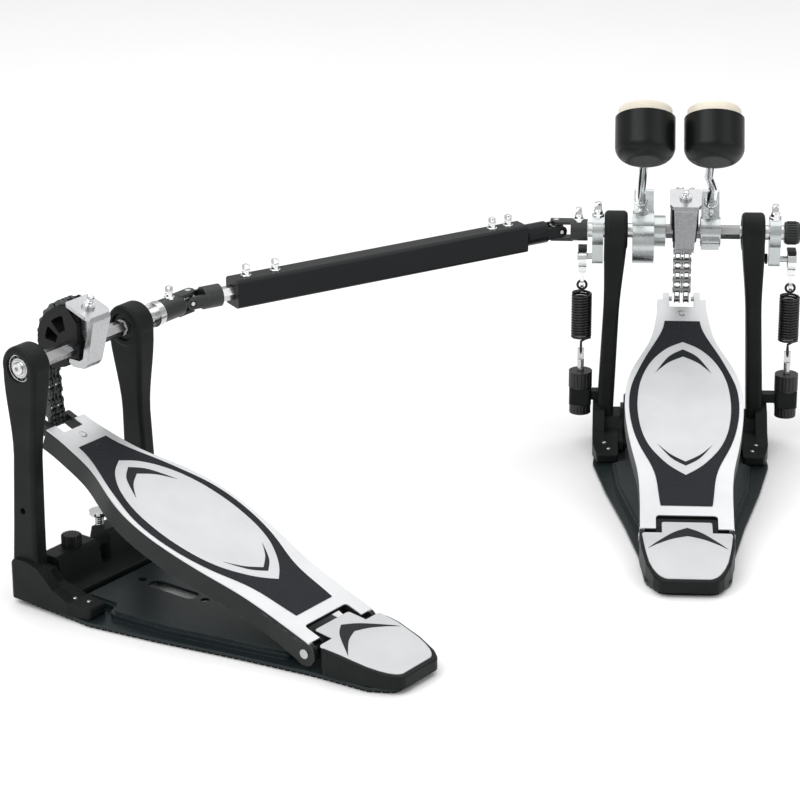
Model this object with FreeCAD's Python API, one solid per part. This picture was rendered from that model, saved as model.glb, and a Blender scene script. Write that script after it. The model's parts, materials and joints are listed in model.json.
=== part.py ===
import FreeCAD, Part
import math
import os

# Twin bass drum pedal, millimetres, +Z up, +Y towards the drum.
# X = 0 is the main pedal's centreline, Y = 0 its axle, Z = 0 the floor.

V = FreeCAD.Vector

# ---------------------------------------------------------------- dimensions
AXLE_Z = 180.0            # axle height above the floor
POST_X = 54.6             # post half spacing at the axle
POST_LEAN = 0.0393        # outward shift of a post per millimetre below the axle
POST_SWELL = (112.0, 178.0)   # heights between which the post widens into its head
HEAD_R = 16.0             # bearing housing outside radius
HEAD_W = 18.5             # bearing housing width
BEARING_R = 10.5          # bearing outside radius
JOURNAL_R = 6.0           # round part of every shaft
RUN_GAP = 0.05            # radial running clearance
HEX_AF = 10.0             # hexagon part of the shafts, across flats

PAD_T = 2.0               # rubber pad under the base plate
PLATE_TOP = 4.0           # top of the base plate's ledge
PLATEAU_TOP = 9.6         # top of its raised middle

HINGE_Y = -233.4          # footboard hinge
HINGE_Z = 15.6
BOARD_Y = -237.4          # lower end of the footboard's top face
BOARD_Z = 24.6
BOARD_SLOPE = 19.7        # degrees
BOARD_T = 4.0
SKIRT = 16.5              # depth of the board's folded sides
# distance up the board, half width
BOARD_OUTLINE = [(0, 35.0), (23, 35.0), (44, 35.3), (66, 37.0), (88, 40.8), (114, 44.5), (140, 46.2),
                 (163, 44.7), (183, 40.1), (202, 32.5), (222, 25.1), (242, 21.7), (258, 19.9), (271, 19.6)]
GRIP_OUTLINE = [(25, 19.4), (44, 21.3), (59, 23.2), (73, 27.2), (88, 33.2), (114, 40.3), (140, 42.8),
                (163, 40.8), (183, 34.9), (202, 27.9), (222, 19.4), (234, 15.5), (243, 14.1)]

KNOB_X = -38.2            # ribbed nut on the front block
KNOB_Y = -3.0
KNOB_R = 7.5

CHAIN_R = 32.0            # pin circle of the chain round the axle
PITCH = 8.0
TANGENT = -4.7            # degrees, where the straight run leaves the cam
FREE_LINKS = 4            # links that leave the cam in a full stroke
RUN_LINKS = 8
TOP_LINKS = 2
LINK_TURN = 2.0 * math.degrees(math.asin(PITCH / 2.0 / CHAIN_R))
PLATE_R = 3.3             # chain plate end radius
ROLLER_R = 2.5
PIN_R = 1.2
CHAIN_HALF = 7.2

LEAN = 53.0               # degrees the beaters lean back at rest
ROD_SIDE = 22.0           # beater rod's offset in front of the axle
HEAD_DIST = 152.0         # axle to beater head centre, along the rod
BEATER_R = 22.8
FELT_R = 20.4
ROD_R = 4.0

ROCKER_PIN_R = 2.5
ROCKER_ARM = 22.0         # axle to spring pin
SPRING_X = {"left": -81.0, "right": 86.0}
EYE_Z = 79.0              # lower pivot of the springs
SPRING_R = 7.6
WIRE_R = 1.1
EYE_R = 3.1                # rings that end the springs
TOP_EYE_Z = 133.6
TOP_EYE_R = 3.6
STRAP_Z = 136.0           # low hole of the hanger

JOINT_X = -102.5          # main universal joint
SLAVE_JOINT_X = 118.0     # slave universal joint, in the slave pedal's frame
YOKE_R = 8.7
EAR_IN = 5.5
EAR_HALF = 4.8
THROAT = 11.5
CROSS_PIN_R = 2.45
OPEN_PIN_R = 1.6

SLAVE_YAW = 56.02         # slave pedal's turn about Z
SLAVE_X = -441.0
SLAVE_Y = -284.4
TUBE_START = 33.0         # tube ends, measured from the main joint
TUBE_END = 293.0

os.makedirs("parts", exist_ok=True)


# ------------------------------------------------------------------- helpers
def save(name, shape):
    shape.exportStep("parts/" + name + ".step")


def box(x0, x1, y0, y1, z0, z1):
    return Part.makeBox(x1 - x0, y1 - y0, z1 - z0, V(x0, y0, z0))


def rod(start, end, radius):
    a = V(*start)
    b = V(*end)
    return Part.makeCylinder(radius, (b - a).Length, a, b - a)


def xcyl(x0, x1, y, z, radius):
    return Part.makeCylinder(radius, x1 - x0, V(x0, y, z), V(1, 0, 0))


def zcyl(x, y, z0, z1, radius):
    return Part.makeCylinder(radius, z1 - z0, V(x, y, z0), V(0, 0, 1))


def fuse(shapes):
    whole = shapes[0]
    for shape in shapes[1:]:
        whole = whole.fuse(shape)
    return whole.removeSplitter()


def cut(shape, tools):
    for tool in tools:
        shape = shape.cut(tool)
    return shape


def mirror_x(shape):
    return shape.mirror(V(0, 0, 0), V(1, 0, 0))


def corner(before, here, after, radius):
    """Start, middle and end of the arc that rounds one polygon corner."""
    a = before - here
    b = after - here
    reach = 0.48 * min(a.Length, b.Length)
    a.normalize()
    b.normalize()
    half = a.getAngle(b) / 2.0
    if half > math.radians(89.0):
        return None
    step = min(radius / math.tan(half), reach)
    radius = step * math.tan(half)
    inward = a + b
    inward.normalize()
    centre = here + inward * (radius / math.sin(half))
    return here + a * step, centre - inward * radius, here + b * step


def rounded_face(points, radius):
    """Planar face from 3-D points with every corner rounded."""
    pts = [V(*p) for p in points]
    count = len(pts)
    edges = []
    last = None
    first = None
    for i in range(count):
        arc = corner(pts[i - 1], pts[i], pts[(i + 1) % count], radius)
        start = arc[0] if arc else pts[i]
        end = arc[2] if arc else pts[i]
        if last is not None and (start - last).Length > 1e-6:
            edges.append(Part.makeLine(last, start))
        if arc:
            edges.append(Part.Arc(*arc).toShape())
        if first is None:
            first = start
        last = end
    if (first - last).Length > 1e-6:
        edges.append(Part.makeLine(last, first))
    return Part.Face(Part.Wire(edges))


def side_plate(points, x0, x1, radius=0.0):
    """Profile given as (y, z), extruded along X."""
    pts = [(x0, y, z) for y, z in points]
    if radius > 0:
        return rounded_face(pts, radius).extrude(V(x1 - x0, 0, 0))
    loop = [V(*p) for p in pts + pts[:1]]
    return Part.Face(Part.makePolygon(loop)).extrude(V(x1 - x0, 0, 0))


def flat_plate(points, z0, z1, radius=0.0):
    """Outline given as (x, y), extruded up Z."""
    pts = [(x, y, z0) for x, y in points]
    if radius > 0:
        return rounded_face(pts, radius).extrude(V(0, 0, z1 - z0))
    loop = [V(*p) for p in pts + pts[:1]]
    return Part.Face(Part.makePolygon(loop)).extrude(V(0, 0, z1 - z0))


def front_plate(points, y0, y1, radius=0.0):
    """Outline given as (x, z), extruded along Y."""
    pts = [(x, y0, z) for x, z in points]
    if radius > 0:
        return rounded_face(pts, radius).extrude(V(0, y1 - y0, 0))
    loop = [V(*p) for p in pts + pts[:1]]
    return Part.Face(Part.makePolygon(loop)).extrude(V(0, y1 - y0, 0))


def soften(shape, radius, shortest):
    """Rounds the long edges that run round the two end faces of a side plate."""
    ends = (shape.BoundBox.XMin, shape.BoundBox.XMax)
    edges = []
    for edge in shape.Edges:
        x = edge.CenterOfMass.x
        flat = edge.BoundBox.XLength < 0.01
        if flat and min(abs(x - ends[0]), abs(x - ends[1])) < 0.01 and edge.Length > shortest:
            edges.append(edge)
    return shape.makeFillet(radius, edges)


def hex_bar(x0, x1, across):
    radius = across / math.sqrt(3.0)
    points = []
    for k in range(6):
        angle = math.radians(60.0 * k)
        points.append((radius * math.cos(angle), AXLE_Z + radius * math.sin(angle)))
    return side_plate(points, x0, x1)


def to_slave(shape):
    moved = shape.copy()
    moved.rotate(V(0, 0, 0), V(0, 0, 1), SLAVE_YAW)
    moved.translate(V(SLAVE_X, SLAVE_Y, 0))
    return moved


def same_place(shape):
    return shape


# ---------------------------------------------------------------------- base
def base_outline(inset):
    half = [(8, 66), (-63, 70), (-120, 60), (-185, 46), (-241, 36), (-285, 32), (-303, 22)]
    right = [(x - inset, y) for y, x in half]
    right[0] = (66 - inset, 8 - inset)
    right[-1] = (22 - inset * 0.7, -303 + inset)
    left = [(-x, y) for x, y in reversed(right)]
    return right + left


def plateau_outline(inset):
    half = [(44, -36 - inset), (44, -66), (55, -71 - inset), (51, -120), (37, -190), (31, -216 + inset)]
    right = [(x - inset, y) for x, y in half]
    return right + [(-x, y) for x, y in reversed(right)]


def base_plate(lip):
    """Pressed sheet: a flat ledge all round and a raised, hollow middle."""
    parts = [flat_plate(base_outline(0.0), PAD_T, PLATE_TOP, 9.0)]
    parts.append(flat_plate(plateau_outline(0.0), PAD_T, PLATEAU_TOP - 1.6, 5.0))
    parts.append(flat_plate(plateau_outline(2.5), PAD_T, PLATEAU_TOP, 4.0))
    if lip:
        parts.append(flat_plate([(26, -10), (24, 36), (-24, 36), (-26, -10)], PAD_T, PLATE_TOP, 5.0))
    plate = fuse(parts)
    slot = flat_plate([(6, -61), (6, -105), (-6, -105), (-6, -61)], 0, 20, 5.7)
    tools = [flat_plate(plateau_outline(4.5), 0, PLATEAU_TOP - 2.0, 3.0), slot]
    for y in (-53, -113):
        tools.append(zcyl(0, y, 0, 20, 3.2))
    return cut(plate, tools)


def base_pad(lip):
    """Rubber sheet with ribs across it, open under the raised middle."""
    pad = flat_plate(base_outline(1.5), 0, PAD_T, 9.0)
    if lip:
        front = flat_plate([(24, -10), (22, 34), (-22, 34), (-24, -10)], 0, PAD_T, 4.0)
        pad = pad.fuse(front).removeSplitter()
    tools = [flat_plate(plateau_outline(6.0), -1, 9, 3.0)]
    for k in range(-62, 7):
        middle = 2.5 + 5.0 * k
        tools.append(box(-80, 80, middle - 1.0, middle + 1.0, -1, 1.2))
    return cut(pad, tools)


def post_section(height, half_x, half_y):
    """Rounded rectangle across the post at one height."""
    middle = (AXLE_Z - height) * POST_LEAN
    points = [(middle - half_x, -half_y, height), (middle + half_x, -half_y, height),
              (middle + half_x, half_y, height), (middle - half_x, half_y, height)]
    return rounded_face(points, 3.2).OuterWire


def post_sections():
    """From the foot to the housing: height and half sizes, eased over the swell."""
    sections = [post_section(14.0, 6.5, 12.5), post_section(60.0, 6.5, 11.0)]
    for k in range(8):
        part = k / 7.0
        ease = part * part * (3.0 - 2.0 * part)
        height = POST_SWELL[0] + (POST_SWELL[1] - POST_SWELL[0]) * part
        sections.append(post_section(height, 6.3 + 2.7 * ease, 10.0 + 5.7 * ease))
    return sections


def post(side):
    """Cast post: a slim column that swells into the bearing housing."""
    column = Part.makeLoft(post_sections(), True, True)
    head = xcyl(-HEAD_W / 2, HEAD_W / 2, 0, AXLE_Z, HEAD_R)
    head = head.makeFillet(3.4, [head.Edges[0], head.Edges[2]])
    shape = fuse([column, head])
    shape = shape.cut(xcyl(-20, 20, 0, AXLE_Z, BEARING_R))
    shape = shape.cut(xcyl(7.0, 30, 0, 72, 2.6))
    shape.translate(V(POST_X, 0, 0))
    if side < 0:
        shape = mirror_x(shape)
    return shape


def bearing(side):
    """Ball bearing set back inside its housing, with a groove in both faces."""
    edge = HEAD_W / 2 - 2.3
    tools = [xcyl(-20, 20, 0, AXLE_Z, JOURNAL_R + RUN_GAP)]
    for x0, x1 in ((-20, 0.9 - edge), (edge - 0.9, 20)):
        groove = xcyl(x0, x1, 0, AXLE_Z, 9.2).cut(xcyl(x0, x1, 0, AXLE_Z, 7.5))
        tools.append(groove)
    shape = cut(xcyl(-edge, edge, 0, AXLE_Z, BEARING_R), tools)
    shape.translate(V(side * POST_X, 0, 0))
    return shape


def tower():
    """Foot of one post: high outside the post, falling to a low rear lobe."""
    profile = [(-63, PLATE_TOP), (-63, 12), (-45, 14), (-30, 20), (-17, 32), (-6, 35.5), (7, 35), (11, 30),
               (11, PLATE_TOP)]
    inner = [(-40, PLATE_TOP), (-36, 13), (-18, 17), (-12, 25), (8, 26), (11, 22), (11, PLATE_TOP)]
    outer_half = side_plate(profile, 61, 70.5, 2.5)
    inner_half = side_plate(inner, 46, 62, 2.0)
    rear = [(-63, PLATE_TOP), (-63, 12), (-45, 14), (-30, 18), (-20, 18), (-20, PLATE_TOP)]
    lobe = side_plate(rear, 50, 66, 2.0)
    plan = flat_plate([(46, 12), (70.5, 12), (70.5, -44), (67, -64), (50, -64), (46, -40)], 0, 60, 5.0)
    return fuse([outer_half, inner_half, lobe]).common(plan)


def front_block(posts, clamp):
    deck = side_plate([(-34, PLATE_TOP), (-33, 11.0), (10, 15), (11, PLATE_TOP)], -47, 47, 1.0)
    ridge = [(-17, 10), (-12, 29), (-9, 30.8), (5, 30.8), (8, 28), (9, 10)]
    parts = [tower(), mirror_x(tower()), deck]
    if clamp:
        parts.append(side_plate(ridge, -48, -30.2, 1.5))
        for x0, x1 in ((24.6, 29.6), (-29.6, -24.6)):
            parts.append(side_plate([(-8, 12), (-8, 33), (2, 35.5), (8, 33), (9, 12)], x0, x1, 2.5))
        wedge = side_plate([(-18, 10), (-13, 33), (-8, 35), (-4, 35), (-4, 10)], -14, 22, 1.5)
        parts += [wedge, box(29.2, 41, 4, 18, PLATE_TOP + 0.5, 14)]
        parts.append(box(-30, 30, -10, -4.5, 10, 31))
    else:
        parts.append(side_plate(ridge, -44, -2, 1.5))
        raised = side_plate([(-17, 10), (-12, 31), (-8, 33), (6, 33), (8, 10)], 4, 44, 1.5)
        parts.append(raised.common(front_plate([(6, 8), (11, 34), (37, 34), (42, 8)], -30, 30, 2.0)))
        parts.append(box(-47, 47, -9, 6, 10, 24))
    block = fuse(parts)
    tools = list(posts)
    if clamp:
        tools.append(xcyl(-40, 40, 2, 29, 2.5))
        tools.append(zcyl(35, 12, 0, 30, 3.05))
        tools.append(zcyl(KNOB_X, KNOB_Y, 15, 60, 3.0))
    return cut(block, tools)


def block_knob():
    """Ribbed hand nut on the left of the block."""
    stem = zcyl(KNOB_X, KNOB_Y, 15, 33, 3.0)
    cap = zcyl(KNOB_X, KNOB_Y, 31, 40, KNOB_R)
    grooves = []
    for k in range(14):
        angle = math.radians(360.0 / 14 * k)
        x = KNOB_X + (KNOB_R + 0.5) * math.cos(angle)
        y = KNOB_Y + (KNOB_R + 0.5) * math.sin(angle)
        grooves.append(zcyl(x, y, 32, 41, 1.1))
    return cut(fuse([stem, cap]), grooves)


# ----------------------------------------------------------------- heel hinge
def heel():
    """Rounded wedge with a hinge barrel and a tongue that fills the board's notch."""
    half = [(36, -243.8), (34.8, -262), (31.5, -283), (26, -299), (20, -306.9)]
    outline = half + [(-x, y) for x, y in reversed(half)]
    plan = flat_plate(outline, PLATE_TOP, 40, 8.0)
    slopes = [(-320, PLATE_TOP), (-320, 9.976), (-262, 22), (-243, 24.2), (-243, PLATE_TOP)]
    side = side_plate(slopes, -60, 60)
    body = plan.common(side)
    rim = []
    for edge in body.Edges:
        middle = edge.CenterOfMass
        upright = edge.BoundBox.XLength < 0.01 and edge.BoundBox.YLength < 0.01
        outside = middle.y < -305.0 or (middle.y < -244.0 and abs(middle.x) > 1.0)
        if edge.BoundBox.ZMin > 9.0 and outside and not upright:
            rim.append(edge)
    body = body.makeFillet(1.6, rim)
    barrel = xcyl(-22.4, 22.4, HINGE_Y, HINGE_Z, 8.2)
    web = box(-22.4, 22.4, -246, HINGE_Y, 7.4, 20)
    tongue = side_plate([(-250, 18), (-250, 23.389), (-229, 25.821), (-229, 23), (-234, 18)], -19, 19)
    shape = fuse([body, web, barrel, tongue])
    return shape.cut(xcyl(-60, 60, HINGE_Y, HINGE_Z, 3.5))


def heel_pin():
    return xcyl(-36, 36, HINGE_Y, HINGE_Z, 3.5)


# ------------------------------------------------------------------ footboard
def board_shape(outline, low, high, inset=0.0, ends=0.0):
    """Symmetric spline outline on the board's plane, between two heights."""
    pts = list(outline)
    if ends:
        pts = [(pts[0][0] - ends, pts[0][1])] + pts + [(pts[-1][0] + ends, pts[-1][1] - 0.2 * ends)]
    right = [V(w - inset, s, low) for s, w in pts]
    left = [V(-p.x, p.y, low) for p in reversed(right)]
    edge_r = Part.BSplineCurve()
    edge_r.interpolate(right)
    edge_l = Part.BSplineCurve()
    edge_l.interpolate(left)
    edges = [edge_r.toShape(), Part.makeLine(right[-1], left[0]),
             edge_l.toShape(), Part.makeLine(left[-1], right[0])]
    return Part.Face(Part.Wire(edges)).extrude(V(0, 0, high - low))


def on_board(shape):
    """From (x, along, above) to the pedal's frame."""
    shape.rotate(V(0, 0, 0), V(1, 0, 0), BOARD_SLOPE)
    shape.translate(V(0, BOARD_Y, BOARD_Z))
    return shape


def toe_point():
    """Where the chain's last pin meets the toe."""
    turn = math.radians(TANGENT)
    start_y = CHAIN_R * math.cos(turn)
    start_z = AXLE_Z + CHAIN_R * math.sin(turn)
    length = RUN_LINKS * PITCH
    return start_y + length * math.sin(turn), start_z - length * math.cos(turn)


def footboard():
    plate = board_shape(BOARD_OUTLINE, -BOARD_T, 0.0)
    skirt = board_shape(BOARD_OUTLINE, -SKIRT, -BOARD_T + 0.5)
    hollow = board_shape(BOARD_OUTLINE, -20, 0.0, 2.6, 12.0)
    skirt = skirt.cut(hollow.common(box(-60, 60, -30, 300, -20, -BOARD_T)))
    recess = board_shape(GRIP_OUTLINE, -0.8, 1.0)
    notch = flat_plate([(-23.2, -6), (23.2, -6), (23.2, 14.5), (-23.2, 14.5)], -20, 5, 3.0)
    slot = box(-10, 10, 262, 300, -20, 5)
    board = cut(fuse([plate, skirt]), [recess, notch, slot])
    board = on_board(board)
    ty, tz = toe_point()
    parts = [board]
    for sign in (-1, 1):
        ear = side_plate([(-236, 8), (-231, 7.5), (-190, 26), (-190, 38), (-237.4, 20.5)], 31.4, 35.4, 1.0)
        knuckle = xcyl(31.4, 35.4, HINGE_Y, HINGE_Z, 9.0)
        lug = side_plate([(ty - 22, tz - 14), (ty + 3, tz - 4), (ty + 5, tz + 1), (ty + 2, tz + 5),
                          (ty - 22, tz - 4)], 10, 15, 2.5)
        stub = xcyl(7.7, 10.5, ty, tz, 2.0)
        cross = side_plate([(ty - 26, tz - 16), (ty - 19, tz - 13), (ty - 19, tz - 3.2),
                            (ty - 26, tz - 5.5)], -1, 12, 0.5)
        for shape in (ear, knuckle, lug, stub, cross):
            parts.append(shape if sign > 0 else mirror_x(shape))
    shape = fuse(parts)
    return shape.cut(xcyl(-60, 60, HINGE_Y, HINGE_Z, 3.5 + RUN_GAP))


def grip():
    return on_board(board_shape(GRIP_OUTLINE, -0.8, 0.6))


# ---------------------------------------------------------------------- chain
def arc_pin(step):
    """Pin on the cam, counted upwards from where the run leaves."""
    angle = math.radians(TANGENT + LINK_TURN * step)
    return CHAIN_R * math.cos(angle), AXLE_Z + CHAIN_R * math.sin(angle)


def run_pin(step):
    start = arc_pin(0)
    end = toe_point()
    part = step / RUN_LINKS
    return start[0] + (end[0] - start[0]) * part, start[1] + (end[1] - start[1]) * part


def link_plate(a, b, x0, x1, radius):
    body = fuse([xcyl(x0, x1, a[0], a[1], radius), xcyl(x0, x1, b[0], b[1], radius)])
    dy = b[0] - a[0]
    dz = b[1] - a[1]
    size = math.hypot(dy, dz)
    ny = -dz / size * radius * 0.78
    nz = dy / size * radius * 0.78
    waist = [(a[0] + ny, a[1] + nz), (b[0] + ny, b[1] + nz), (b[0] - ny, b[1] - nz), (a[0] - ny, a[1] - nz)]
    return body.fuse(side_plate(waist, x0, x1))


def outer_link(a, b):
    parts = []
    for x0, x1 in ((-CHAIN_HALF, -6.3), (-0.8, 0.8), (6.3, CHAIN_HALF)):
        parts.append(link_plate(a, b, x0, x1, PLATE_R - 0.2))
    for pin in (a, b):
        parts.append(xcyl(-CHAIN_HALF - 0.3, CHAIN_HALF + 0.3, pin[0], pin[1], PIN_R))
    return fuse(parts)


def inner_link(a, b):
    halves = []
    bores = [xcyl(0, 20, pin[0], pin[1], PIN_R + RUN_GAP) for pin in (a, b)]
    for side in (-1, 1):
        parts = [link_plate(a, b, 1.2, 2.1, PLATE_R), link_plate(a, b, 5.1, 6.0, PLATE_R)]
        for pin in (a, b):
            parts.append(xcyl(1.2, 6.0, pin[0], pin[1], ROLLER_R))
        half = cut(fuse(parts), bores)
        halves.append(half if side > 0 else mirror_x(half))
    return halves


def chain_link(a, b, inner):
    return inner_link(a, b) if inner else [outer_link(a, b)]


def chain(prefix, place):
    for k in range(1, FREE_LINKS + 1):
        high = arc_pin(FREE_LINKS - k + 1)
        low = arc_pin(FREE_LINKS - k)
        solids = chain_link(high, low, k % 2 == 0)
        save(prefix + "_link_" + str(k), place(Part.Compound(solids)))
    solids = []
    for k in range(RUN_LINKS):
        solids += chain_link(run_pin(k), run_pin(k + 1), k % 2 == 1)
    save(prefix + "_chain_run", place(Part.Compound(solids)))
    solids = []
    for k in range(TOP_LINKS):
        low = arc_pin(FREE_LINKS + k)
        high = arc_pin(FREE_LINKS + k + 1)
        solids += chain_link(low, high, k % 2 == 0)
    save(prefix + "_chain_top", place(Part.Compound(solids)))


# ------------------------------------------------------------------------ cam
def polar(radius, degrees):
    angle = math.radians(degrees)
    return radius * math.cos(angle), AXLE_Z + radius * math.sin(angle)


def sector(r0, r1, start, end, x0, x1):
    count = 10
    points = [polar(r1, start + (end - start) * k / count) for k in range(count + 1)]
    points += [polar(r0, end + (start - end) * k / count) for k in range(count + 1)]
    return side_plate(points, x0, x1, 1.5)


def cam():
    """Black carrier: a rim under the chain between two windowed side plates."""
    rim = CHAIN_R - PLATE_R - 0.35
    front = side_plate([(-7, 222), (-7, 172.2), (3.6, 171.6), (6, 164), (18, 160), (40, 168),
                        (40, 222)], -12, 12, 0.8)
    core = xcyl(-7.5, 7.5, 0, AXLE_Z, rim).common(front)
    parts = [core, xcyl(-9.5, 9.5, 0, AXLE_Z, 8.6)]
    outline = [polar(31.5, a) for a in (-14, 6, 26, 46, 66, 86)]
    outline += [(-8, 200), (-8, 186), (2, 175), (14, 174)]
    for x0, x1 in ((7.9, 10.6), (-10.6, -7.9)):
        parts.append(side_plate(outline, x0, x1, 3.5))
    parts.append(xcyl(-8.4, 8.4, 0, AXLE_Z, rim - 3).common(front))
    shape = fuse(parts)
    windows = [sector(13, 24, 6, 32, -13, 13), sector(13, 24, 44, 76, -13, 13)]
    return cut(shape, windows + [hex_bar(-20, 20, HEX_AF)])


def cam_bracket():
    """Bent steel arm: a tilted cap at the chain's end, down behind the axle and under it."""
    outline = [(1, 212), (1, 215), (-21.5, 206.9), (-23, 203.5), (-14.5, 169.5), (-11, 165.5),
               (0, 164.8), (4, 167.5), (4, 170.6), (-6.5, 170.6), (-10, 173), (-11.5, 180),
               (-19.4, 203.3), (-18, 205.2)]
    arm = side_plate(outline, -9.2, 9.2, 1.2)
    arm = arm.common(front_plate([(-9.2, 220), (-9.2, 204), (-7.3, 166), (-7.3, 150),
                                  (7.3, 150), (7.3, 166), (9.2, 204), (9.2, 220)], -40, 20))
    cap = side_plate([(1, 212), (1, 215), (-21.5, 206.9), (-20.5, 204.3)], -12.5, 12.5)
    plan = flat_plate([(12.5, 1.2), (12.5, -18), (9.4, -22), (-9.4, -22), (-12.5, -18), (-12.5, 1.2)],
                      195, 225, 2.0)
    parts = [arm, cap.common(plan), rod((0, -9.7, 210.1), (0, -10.7, 212.9), 5.0)]
    for x in (-5.5, 2.5):
        parts.append(side_plate([(-8, 192), (-8, 208.4), (-19.5, 204.4), (-12.7, 184)], x, x + 3.0))
    return fuse(parts).cut(xcyl(-20, 20, 0, AXLE_Z, 8.7))


# --------------------------------------------------------------------- shafts
def main_shaft():
    pilot = xcyl(-32.5, -14.8, 0, AXLE_Z, 4.0)
    hexagon = hex_bar(-15, 44, HEX_AF)
    journal = xcyl(44, 79, 0, AXLE_Z, JOURNAL_R)
    cap = xcyl(78.8, 92, 0, AXLE_Z, 9.0)
    cap = cap.makeFillet(2.5, [cap.Edges[0], cap.Edges[2]])
    return fuse([pilot, hexagon, journal, cap])


def yoke(x_pivot, facing, shaft_end):
    """Fork on the X axis; facing is the side the ears point to."""
    face = x_pivot - facing * THROAT
    hub = xcyl(min(face, shaft_end), max(face, shaft_end), 0, AXLE_Z, YOKE_R)
    tip = x_pivot + facing * EAR_HALF
    x0 = min(tip, face - facing * 2)
    x1 = max(tip, face - facing * 2)
    slab = box(x0, x1, -EAR_HALF, EAR_HALF, AXLE_Z - YOKE_R, AXLE_Z + YOKE_R)
    barrel = zcyl(x_pivot, 0, AXLE_Z - YOKE_R, AXLE_Z + YOKE_R, EAR_HALF)
    straight = box(min(x_pivot, face - facing * 2), max(x_pivot, face - facing * 2), -20, 20, 0, 400)
    ears = slab.common(straight).fuse(barrel)
    round_bar = xcyl(x0 - 2, x1 + 2, 0, AXLE_Z, YOKE_R + 0.6)
    ears = ears.common(round_bar)
    gap = box(min(face, tip), max(face, tip), -20, 20, AXLE_Z - EAR_IN, AXLE_Z + EAR_IN)
    ears = ears.cut(gap)
    shape = fuse([hub, ears])
    return shape.cut(zcyl(x_pivot, 0, 100, 260, CROSS_PIN_R + RUN_GAP))


def left_shaft():
    bar = xcyl(-80, -33, 0, AXLE_Z, JOURNAL_R)
    return fuse([bar, yoke(JOINT_X, -1, -77.0)])


def slave_shaft():
    left = xcyl(-62, -44, 0, AXLE_Z, JOURNAL_R)
    hexagon = hex_bar(-44, 44, HEX_AF)
    right = xcyl(44, 90, 0, AXLE_Z, JOURNAL_R)
    ring = xcyl(78, 84, 0, AXLE_Z, 9.5)
    button = xcyl(-64.4, -61.5, 0, AXLE_Z, 4.8)
    button = button.makeFillet(1.4, [e for e in button.Edges if e.CenterOfMass.x < -64.3])
    shape = fuse([left, hexagon, right, ring, button, yoke(SLAVE_JOINT_X, 1, 86.0)])
    return shape.cut(hex_bar(-66, -63.0, 3.6))


def rocker(side, x0, x1, pin_end):
    low = AXLE_Z - ROCKER_ARM
    lever = side_plate([(-9, AXLE_Z + 4), (-5.5, low - 5.5), (5.5, low - 5.5), (9, AXLE_Z + 4)], x0, x1, 4.0)
    boss = xcyl(x0, x1, 0, AXLE_Z, 12.5)
    pin = xcyl(x1 - 0.5, pin_end, 0, low, ROCKER_PIN_R)
    tip = xcyl(pin_end - 1.2, pin_end, 0, low, ROCKER_PIN_R + 0.9)
    shape = fuse([lever, boss, pin, tip])
    shape = shape.cut(xcyl(0, 200, 0, AXLE_Z, JOURNAL_R))
    return shape if side > 0 else mirror_x(shape)


# -------------------------------------------------------------------- beaters
def along_rod(distance, forward):
    """(y, z) at a distance up the beater rod and forward of it."""
    lean = math.radians(LEAN)
    y = -distance * math.sin(lean) + forward * math.cos(lean)
    z = AXLE_Z + distance * math.cos(lean) + forward * math.sin(lean)
    return y, z


def beater_rod(x_hub, x_head):
    low = along_rod(-22.0, ROD_SIDE)
    bend = along_rod(45.0, ROD_SIDE)
    top = along_rod(70.0, ROD_SIDE)
    end = along_rod(HEAD_DIST, ROD_SIDE)
    if abs(x_hub - x_head) < 0.01:
        return rod((x_hub, low[0], low[1]), (x_hub, end[0], end[1]), ROD_R)
    parts = [rod((x_hub, low[0], low[1]), (x_hub, bend[0], bend[1]), ROD_R)]
    parts.append(rod((x_hub, bend[0], bend[1]), (x_head, top[0], top[1]), ROD_R))
    parts.append(rod((x_head, top[0], top[1]), (x_head, end[0], end[1]), ROD_R))
    parts.append(Part.makeSphere(ROD_R, V(x_hub, bend[0], bend[1])))
    parts.append(Part.makeSphere(ROD_R, V(x_head, top[0], top[1])))
    return fuse(parts)


def end_edges(shape, point):
    return [e for e in shape.Edges if e.CenterOfMass.distanceToPoint(point) < 1.0 and e.Length > 100]


def beater_shell(x, rod_shape):
    back = along_rod(HEAD_DIST, ROD_SIDE - 19.5)
    front = along_rod(HEAD_DIST, ROD_SIDE + 15.0)
    shell = rod((x, back[0], back[1]), (x, front[0], front[1]), BEATER_R)
    shell = shell.makeFillet(11.5, end_edges(shell, V(x, back[0], back[1])))
    return shell.cut(rod_shape)


def beater_felt(x):
    start = along_rod(HEAD_DIST, ROD_SIDE + 15.0)
    end = along_rod(HEAD_DIST, ROD_SIDE + 23.0)
    felt = rod((x, start[0], start[1]), (x, end[0], end[1]), FELT_R)
    return felt.makeFillet(2.0, end_edges(felt, V(x, end[0], end[1])))


def holder_body(x0, x1, low, high, half, radius):
    """Block standing across the rod: low and high are distances towards the drum."""
    corners = []
    for dist, fwd in ((-half, low), (-half, high), (half, high), (half, low)):
        corners.append(along_rod(dist, fwd))
    return side_plate(corners, x0, x1, radius)


def key_recess(x, bar_side):
    """Pocket for the square-headed screw on the player's side of a holder."""
    a = along_rod(20.0, bar_side)
    b = along_rod(9.0, bar_side)
    return rod((x, a[0], a[1]), (x, b[0], b[1]), 4.2)


def left_hub(rod_shape):
    body = holder_body(-40.5, -25.0, 4, 32, 11.5, 2.5)
    ring = xcyl(-41.5, -24.5, 0, AXLE_Z, 16.0)
    low = along_rod(0, -9.0)
    lobe = xcyl(-41.5, -24.5, low[0], low[1], 17.5)
    collar = xcyl(-24.6, -15.4, 0, AXLE_Z, 12.5)
    shape = fuse([body, ring, lobe, collar])
    shape = shape.cut(xcyl(-60, -33, 0, AXLE_Z, JOURNAL_R))
    shape = shape.cut(xcyl(-33.1, 0, 0, AXLE_Z, 4.0 + RUN_GAP))
    return cut(shape, [rod_shape, key_recess(-33, 12.0)])


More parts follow.
